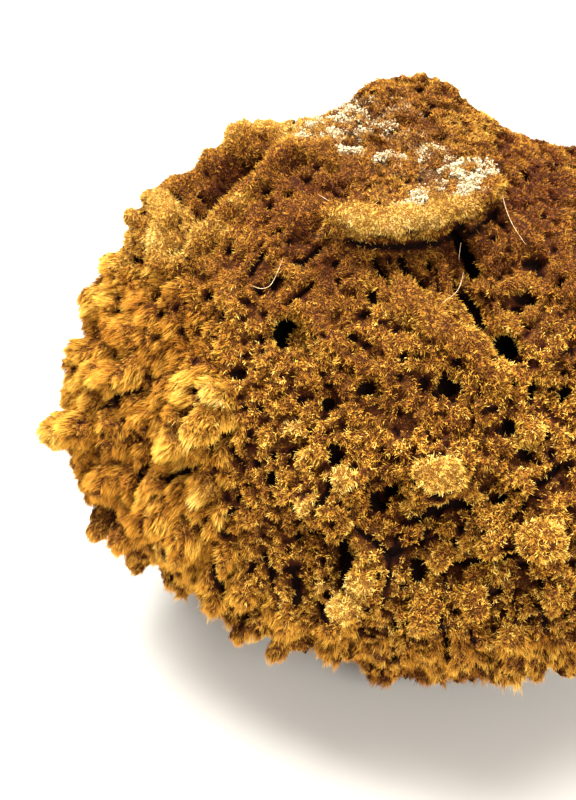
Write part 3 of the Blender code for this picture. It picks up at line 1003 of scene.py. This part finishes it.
def makeTuft(name, coat, seed):
    # a strand is a narrow kite whose tip curls over, or a plain spike where the coat has no curl
    random = np.random.default_rng(seed)
    points, faces, along, side, strand = [], [], [], [], []
    for _ in range(coat["strands"]):
        turn = random.uniform(0, 2 * math.pi)
        out = coat["spread"] * math.sqrt(random.random())
        root = np.array((math.cos(turn) * out, math.sin(turn) * out,
                         -tuftShape["rootDepth"]))
        tilt = coat["splay"] * random.random()
        away = random.uniform(0, 2 * math.pi)
        long = coat["height"] * random.uniform(*tuftShape["lengths"])
        half = np.array((-math.sin(away), math.cos(away), 0)) * coat["width"] / 2
        first = len(points)
        if coat["curl"]:
            middle = root + leaning(away, tilt) * long * tuftShape["bend"]
            curled = leaning(away, tilt + random.uniform(*coat["curl"]))
            tip = middle + curled * long * tuftShape["tip"]
            points += [root, middle - half, middle + half, tip]
            faces += [(first, first + 2, first + 1), (first + 1, first + 2, first + 3)]
            along += [0.0, 0.6, 0.6, 1.0]
            side += [0.0, -1.0, 1.0, 0.0]
        else:
            points += [root - half, root + half, root + leaning(away, tilt) * long]
            faces += [(first, first + 1, first + 2)]
            along += [0.1, 0.1, 1.0]
            side += [-1.0, 1.0, 0.0]
        # painted glint: these strands get a much lighter tone
        glint = random.random() < coat["glints"]
        strand += [coat["shine"] if glint else random.uniform(-1, 1)] * (len(points) - first)
    mesh = bpy.data.meshes.new(name)
    mesh.from_pydata([tuple(p * mm) for p in points], [], faces)
    for label, values in (("along", along), ("side", side), ("strand", strand)):
        keepValues(mesh, label, np.array(values))
    return bpy.data.objects.new(name, mesh)


def newTree(name, inputs):
    tree = bpy.data.node_groups.new(name, "GeometryNodeTree")
    for label, kind in inputs:
        tree.interface.new_socket(name=label, in_out="INPUT", socket_type="NodeSocket" + kind)
    tree.interface.new_socket(name="Geometry", in_out="OUTPUT", socket_type="NodeSocketGeometry")
    return tree, tree.nodes.new("NodeGroupInput").outputs, tree.nodes.new("NodeGroupOutput")


def sampleAt(tree, geometry, value, index, kind):
    node = addNode(tree, "GeometryNodeSampleIndex", {"Geometry": geometry, "Value": value,
                                                     "Index": index}, data_type=kind)
    return node.outputs["Value"]


def namedValue(tree, name, kind="FLOAT"):
    node = addNode(tree, "GeometryNodeInputNamedAttribute", {"Name": name}, data_type=kind)
    return node.outputs["Attribute"]


def nearestIn(tree, geometry, position):
    node = addNode(tree, "GeometryNodeSampleNearest", {"Geometry": geometry,
                                                       "Sample Position": position})
    return node.outputs["Index"]


def randomNumber(tree, lowest, highest, seed, ident=None):
    node = addNode(tree, "FunctionNodeRandomValue", {2: lowest, 3: highest, "Seed": seed},
                   data_type="FLOAT")
    if ident is not None:
        tree.links.new(ident, node.inputs["ID"])
    return node.outputs[1]


def placeKinds(tree, points, kinds, kindCount, rotation, size, material):
    which = addNode(tree, "FunctionNodeRandomValue", {4: 0, 5: kindCount - 1, "Seed": 9},
                    data_type="INT")
    shapes = addNode(tree, "GeometryNodeCollectionInfo",
                     {"Collection": kinds, "Separate Children": True, "Reset Children": True})
    placed = addNode(tree, "GeometryNodeInstanceOnPoints",
                     {"Points": points, "Instance": shapes.outputs[0], "Pick Instance": True,
                      "Instance Index": which.outputs[2], "Rotation": rotation, "Scale": size})
    real = addNode(tree, "GeometryNodeRealizeInstances", {"Geometry": placed.outputs[0]})
    finish = addNode(tree, "GeometryNodeSetMaterial",
                     {"Geometry": real.outputs[0], "Material": material})
    return finish.outputs[0]


def coatTree(material):
    tree, given, leave = newTree("fibre coat", (
        ("Geometry", "Geometry"), ("Pores", "Object"), ("Tufts", "Collection"),
        ("Share Name", "String"), ("Per Square Metre", "Float"), ("Seed", "Int"),
        ("Clump Spacing", "Float"), ("Clump Height", "Float"), ("Gather", "Float"),
        ("Valley", "Float"), ("Scatter Angle", "Float"), ("Shortest", "Float"),
        ("Longest", "Float")))
    position = addNode(tree, "GeometryNodeInputPosition").outputs[0]
    flow = namedValue(tree, "flow", "FLOAT_VECTOR")
    share = namedValue(tree, given["Share Name"])
    spread = addNode(tree, "GeometryNodeDistributePointsOnFaces",
                     {"Mesh": given["Geometry"], "Seed": given["Seed"],
                      "Density": sumOf(tree, "MULTIPLY", given["Per Square Metre"], share)},
                     distribute_method="RANDOM")

    # nothing grows where the nearest small pore opens
    pores = addNode(tree, "GeometryNodeObjectInfo", {"Object": given["Pores"]}).outputs["Geometry"]
    pore = nearestIn(tree, pores, position)
    porePlace = sampleAt(tree, pores, position, pore, "FLOAT_VECTOR")
    poreWidth = sampleAt(tree, pores, namedValue(tree, "width"), pore, "FLOAT")
    poreGap = sumOf(tree, "DIVIDE", vectorSum(tree, "DISTANCE", position, porePlace), poreWidth)
    inside = sumOf(tree, "LESS_THAN", poreGap, tuftShape["poreClear"])

    # each strand leans towards the top of its clump
    clumps = addNode(tree, "GeometryNodeDistributePointsOnFaces",
                     {"Mesh": given["Geometry"], "Distance Min": given["Clump Spacing"],
                      "Density Max": tuftShape["clumpsPerSquareMetre"],
                      "Seed": given["Seed"]},
                     distribute_method="POISSON").outputs["Points"]
    clump = nearestIn(tree, clumps, position)
    clumpPlace = sampleAt(tree, clumps, position, clump, "FLOAT_VECTOR")
    clumpFlow = sampleAt(tree, clumps, flow, clump, "FLOAT_VECTOR")
    clumpTop = vectorSum(tree, "ADD", clumpPlace,
                         vectorSum(tree, "SCALE", clumpFlow, given["Clump Height"]))
    toTop = vectorSum(tree, "NORMALIZE", vectorSum(tree, "SUBTRACT", clumpTop, position))
    keep = sumOf(tree, "SUBTRACT", 1.0, given["Gather"])
    aim = vectorSum(tree, "ADD", vectorSum(tree, "SCALE", flow, keep),
                    vectorSum(tree, "SCALE", toTop, given["Gather"]))
    fromClump = sumOf(tree, "DIVIDE", vectorSum(tree, "DISTANCE", position, clumpPlace),
                      given["Clump Spacing"])
    nearness = rangeOf(tree, fromClump, tuftShape["clumpReach"], 0.0)
    bare = sumOf(tree, "MAXIMUM", inside, sumOf(tree, "LESS_THAN", nearness, given["Valley"]))
    marked = addNode(tree, "GeometryNodeDeleteGeometry",
                     {"Geometry": spread.outputs["Points"], "Selection": bare},
                     domain="POINT").outputs[0]
    for label, value in (("nearness", nearness),
                         ("tuft", randomNumber(tree, -1.0, 1.0, 3, clump)),
                         ("poreGap", poreGap)):
        marked = addNode(tree, "GeometryNodeStoreNamedAttribute",
                         {"Geometry": marked, "Name": label, "Value": value},
                         data_type="FLOAT", domain="POINT").outputs[0]

    aligned = addNode(tree, "FunctionNodeAlignRotationToVector", {"Vector": aim}, axis="Z")
    tilt = addNode(tree, "FunctionNodeRandomValue", {0: (-1, -1, -math.pi), 1: (1, 1, math.pi),
                                                     "Seed": given["Seed"]},
                   data_type="FLOAT_VECTOR")
    spare = addNode(tree, "ShaderNodeCombineXYZ", {"X": given["Scatter Angle"],
                                                   "Y": given["Scatter Angle"], "Z": 1.0})
    turn = addNode(tree, "FunctionNodeEulerToRotation",
                   {"Euler": vectorSum(tree, "MULTIPLY", tilt.outputs[0], spare.outputs[0])})
    turned = addNode(tree, "FunctionNodeRotateRotation",
                     {"Rotation": aligned.outputs[0], "Rotate By": turn.outputs[0]},
                     rotation_space="LOCAL")
    tall = sumOf(tree, "MULTIPLY", randomNumber(tree, given["Shortest"], given["Longest"], 4),
                 namedValue(tree, "reach"))
    for taller in (sumOf(tree, "MULTIPLY_ADD", nearness, *tuftShape["tallerInClump"]),
                   sumOf(tree, "MULTIPLY_ADD", namedValue(tree, "tuft"),
                         *tuftShape["tallerByTuft"]),
                   rangeOf(tree, poreGap, *tuftShape["poreShort"])):
        tall = sumOf(tree, "MULTIPLY", tall, taller)
    size = addNode(tree, "ShaderNodeCombineXYZ", {"X": 1.0, "Y": 1.0, "Z": tall})
    made = placeKinds(tree, marked, given["Tufts"], tuftShape["kinds"], turned.outputs[0],
                      size.outputs[0], material)
    tree.links.new(made, leave.inputs[0])
    return tree


def grown(name, host, tree, values):
    obj = linkObject(name, host.data.copy())
    modifier = obj.modifiers.new("scatter", "NODES")
    modifier.node_group = tree
    for item in tree.interface.items_tree:
        if item.in_out == "INPUT" and item.name in values:
            modifier[item.identifier] = values[item.name]
    mesh = settled(obj)
    bpy.data.objects.remove(obj)
    return mesh


def strandMaterial():
    # across the map runs the tone from red brown to pale gold and then chalk, and up it the
    # strand from root to tip
    material, tree, shader = newMaterial("spongin strands", 0.7)
    place = addNode(tree, "ShaderNodeUVMap", uv_map="OFBake")
    parts = addNode(tree, "ShaderNodeSeparateXYZ", {"Vector": place.outputs["UV"]})
    root = addRamp(tree, parts.outputs["X"], [
        (0.0, paint(34, 9, 4)), (0.28, paint(82, 34, 8)), (0.56, paint(150, 88, 18)),
        (0.84, paint(212, 154, 50)), (0.92, paint(190, 170, 124))])
    tip = addRamp(tree, parts.outputs["X"], [
        (0.0, paint(150, 78, 20)), (0.28, paint(234, 162, 50)), (0.56, paint(252, 206, 82)),
        (0.84, paint(255, 228, 136)), (0.92, paint(246, 232, 190))])
    climb = rangeOf(tree, parts.outputs["Y"], 0.2, 0.85)
    colour = mixColours(tree, climb, root, tip)
    tree.links.new(colour, shader.inputs["Base Color"])
    return material


def finishStrands(name, mesh, coat):
    def read(label):
        values = np.empty(len(mesh.vertices), np.float32)
        mesh.attributes[label].data.foreach_get("value", values)
        return values

    strand = read("strand")
    # painted highlight: strands near the rim of a pore are lighter
    rimHighlight = 1 - easeStep(read("poreGap"), *strandTones["rimEdge"])
    tone = read("tone") + strandTones["strand"] * strand + strandTones["tuft"] * read("tuft")
    # painted shade between clumps: darker towards a clump's edge
    tone = tone + strandTones["clump"] * (read("nearness") - 0.5)
    tone = (tone + strandTones["rimHighlight"] * rimHighlight + coat["lift"]) * strandTones["most"]
    tone = np.clip(tone, strandTones["least"], strandTones["most"])
    fromChalk, byStrand = strandTones["dustedFrom"]
    dusted = read("chalk") > fromChalk + byStrand * np.clip(strand, -1, 1)
    tone = np.where(dusted, strandTones["dusted"], tone)
    corner = np.empty(len(mesh.loops), np.int32)
    mesh.loops.foreach_get("vertex_index", corner)
    across = tone + 0.01 * read("side")
    up = 0.02 + 0.96 * read("along")
    points = pointsOf(mesh)
    points[:, 2] = np.maximum(points[:, 2], 0)
    movePoints(mesh, points)
    for layer in [a.name for a in mesh.attributes if a.domain == "POINT" and not a.is_required]:
        mesh.attributes.remove(mesh.attributes[layer])
    spots = mesh.uv_layers.new(name="OFBake")
    spots.uv.foreach_set("vector", np.stack((across, up), axis=1)[corner].ravel())
    mesh.shade_smooth()
    return linkObject(name, mesh)


def growCoats(host, pores):
    tree = coatTree(strandMaterial())
    made = []
    for name, coat in coats.items():
        kinds = bpy.data.collections.new(name + " tufts")
        for k in range(tuftShape["kinds"]):
            kinds.objects.link(makeTuft(f"{name}Tuft{k}", coat, coat["seed"] * 10 + k))
        mesh = grown(name, host, tree, {
            "Pores": pores, "Tufts": kinds, "Share Name": name + "Share",
            "Per Square Metre": coat["tufts"], "Seed": coat["seed"],
            "Clump Spacing": coat["clumps"] * mm, "Clump Height": coat["clumpHeight"] * mm,
            "Gather": coat["gather"], "Valley": coat["valley"], "Scatter Angle": coat["scatter"],
            "Shortest": coat["lengths"][0], "Longest": coat["lengths"][1]})
        made.append(finishStrands(name + "Strands", mesh, coat))
        print("coat:", name, len(mesh.polygons), "triangles")
    return made


# the grit: chalky grains caught in the felt of the shelf and the slopes beside it

grit = {"perSquareMetre": 1.2e7, "sizes": (0.2, 0.8), "kinds": 7, "seed": 41, "lift": 1.3 * mm}


def makeGrain(name, seed):
    random = np.random.default_rng(seed)
    grain = bmesh.new()
    bmesh.ops.create_icosphere(grain, subdivisions=1, radius=0.5 * mm)
    stretch = Vector(random.uniform(0.6, 1.3, 3))
    for corner in grain.verts:
        corner.co = corner.co * random.uniform(0.55, 1.3) * stretch
    mesh = bpy.data.meshes.new(name)
    grain.to_mesh(mesh)
    grain.free()
    return bpy.data.objects.new(name, mesh)


def chalkMaterial():
    material, tree, shader = newMaterial("chalky grit", 0.9)
    flecks, relief = addFlecks(tree, 2600.0, 0.5)
    colour = mixColours(tree, flecks, paint(196, 168, 112), paint(250, 240, 208))
    tree.links.new(colour, shader.inputs["Base Color"])
    tree.links.new(relief, shader.inputs["Normal"])
    return material


def gritTree(material):
    tree, given, leave = newTree("chalky grit", (
        ("Geometry", "Geometry"), ("Grains", "Collection"), ("Per Square Metre", "Float"),
        ("Seed", "Int"), ("Lift", "Float"), ("Smallest", "Float"), ("Largest", "Float")))
    spread = addNode(tree, "GeometryNodeDistributePointsOnFaces",
                     {"Mesh": given["Geometry"], "Seed": given["Seed"],
                      "Density": sumOf(tree, "MULTIPLY", given["Per Square Metre"],
                                       namedValue(tree, "gritShare"))},
                     distribute_method="RANDOM")
    lift = vectorSum(tree, "SCALE", namedValue(tree, "flow", "FLOAT_VECTOR"),
                     sumOf(tree, "MULTIPLY", given["Lift"], randomNumber(tree, 0.2, 1.2, 2)))
    raised = addNode(tree, "GeometryNodeSetPosition",
                     {"Geometry": spread.outputs["Points"], "Offset": lift})
    turn = addNode(tree, "FunctionNodeRandomValue", {0: (-3, -3, -3), 1: (3, 3, 3)},
                   data_type="FLOAT_VECTOR")
    # many small grains to each large one
    small = sumOf(tree, "POWER", randomNumber(tree, 0.0, 1.0, 5), 3.0)
    size = rangeOf(tree, small, 0.0, 1.0, given["Smallest"], given["Largest"])
    made = placeKinds(tree, raised.outputs[0], given["Grains"], grit["kinds"], turn.outputs[0],
                      size, material)
    tree.links.new(made, leave.inputs[0])
    return tree


def scatterGrit(host):
    kinds = bpy.data.collections.new("grains")
    for k in range(grit["kinds"]):
        kinds.objects.link(makeGrain(f"grain{k}", grit["seed"] + k))
    mesh = grown("grit", host, gritTree(chalkMaterial()), {
        "Grains": kinds, "Per Square Metre": grit["perSquareMetre"], "Seed": grit["seed"],
        "Lift": grit["lift"], "Smallest": grit["sizes"][0], "Largest": grit["sizes"][1]})
    print("grit:", len(mesh.polygons), "faces")
    return linkObject("chalkyGrit", mesh)


# loose hairs lying on the sponge, each through the spots where the picture shows it

hairs = {
    "radius": 0.055 * mm,
    "lift": 2.4 * mm,
    "paths": {
        "curlByPore": ((253, 290), (260, 294), (268, 295), (275, 293), (279, 288), (281, 276),
                       (284, 262)),
        "overGroove": ((437, 309), (446, 301), (452, 292), (460, 286), (467, 279)),
        "fromShelf": ((486, 180), (494, 196), (500, 214), (509, 234), (520, 247)),
        "byShelf": ((323, 202), (331, 206), (341, 212)),
        "underShelf": ((459, 240), (459, 250), (462, 262)),
    },
}


def layHairs(calm):
    lines = bpy.data.curves.new("hairs", "CURVE")
    lines.dimensions = "3D"
    lines.bevel_depth = hairs["radius"]
    lines.bevel_resolution = 1
    lines.resolution_u = 4
    for path in hairs["paths"].values():
        line = lines.splines.new("NURBS")
        line.points.add(len(path) - 1)
        for i, (x, y) in enumerate(path):
            place, normal = calm.spot(x, y)
            line.points[i].co = (*(place + normal * hairs["lift"]), 1.0)
            line.points[i].radius = 1.0 if 0 < i < len(path) - 1 else 0.6
        line.order_u = 3
        line.use_endpoint_u = True
    obj = bpy.data.objects.new("hairs", lines)
    scene.collection.objects.link(obj)
    mesh = settled(obj)
    bpy.data.objects.remove(obj)
    material, tree, shader = newMaterial("pale hair", 0.5)
    flecks, _ = addFlecks(tree, 900.0, 0.2)
    tree.links.new(mixColours(tree, flecks, paint(206, 166, 112), paint(244, 218, 176)),
                   shader.inputs["Base Color"])
    mesh.materials.clear()
    mesh.materials.append(material)
    mesh.shade_smooth()
    return linkObject("looseHairs", mesh)


# the floor, the light and the camera

studio = {
    "floorWidth": 6.0,
    "floorColour": paint(238, 234, 224),
    "skyColour": paint(250, 250, 250),
    "skyStrength": 0.55,
    "keyPlace": (-0.12, 0.08, 0.9),
    "keySize": 0.8,
    "keyPower": 31.5,
    "fillPlace": (0.35, -0.9, 0.6),
    "fillSize": 0.5,
    "fillPower": 9.0,
}


def buildStudio():
    floor = bmesh.new()
    bmesh.ops.create_grid(floor, x_segments=1, y_segments=1, size=studio["floorWidth"] / 2)
    mesh = bpy.data.meshes.new("floor")
    floor.to_mesh(mesh)
    floor.free()
    material, _, shader = newMaterial("pale table", 0.6)
    shader.inputs["Base Color"].default_value = studio["floorColour"]
    mesh.materials.append(material)
    ground = linkObject("floor", mesh)
    world = bpy.data.worlds.new("studio")
    world.use_nodes = True
    sky = world.node_tree.nodes["Background"]
    sky.inputs["Color"].default_value = studio["skyColour"]
    sky.inputs["Strength"].default_value = studio["skyStrength"]
    scene.world = world
    for name in ("key", "fill"):
        lamp = bpy.data.lights.new(name, "AREA")
        lamp.size = studio[name + "Size"]
        lamp.energy = studio[name + "Power"]
        light = bpy.data.objects.new(name, lamp)
        light.location = studio[name + "Place"]
        toward = Vector((0, 0, 0.07)) - light.location
        light.rotation_euler = toward.to_track_quat("-Z", "Y").to_euler()
        scene.collection.objects.link(light)


def buildCamera():
    eye, forward, up = shotDirections()
    data = bpy.data.cameras.new("camera")
    data.lens = shot["lens"]
    data.sensor_fit = "VERTICAL"
    data.sensor_height = shot["filmHeight"]
    data.clip_start = 0.01
    camera = bpy.data.objects.new("camera", data)
    camera.location = eye
    camera.rotation_euler = (math.radians(90 - shot["tilt"]), 0, 0)
    scene.collection.objects.link(camera)
    scene.camera = camera


buildCamera()
buildStudio()
scene.view_settings.view_transform = "Standard"
spongeBody, pores, calmSkin = makeBody()
strandPieces = growCoats(spongeBody, pores)
chalkyGrit = scatterGrit(spongeBody)
looseHairs = layHairs(calmSkin)
thinBody(spongeBody)
spongeBody.data.materials.append(bodyMaterial())
bpy.data.objects.remove(pores)

for piece in (spongeBody, *strandPieces, chalkyGrit, looseHairs):
    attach(piece, "root")
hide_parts("sponge")

print("sponge: finished")
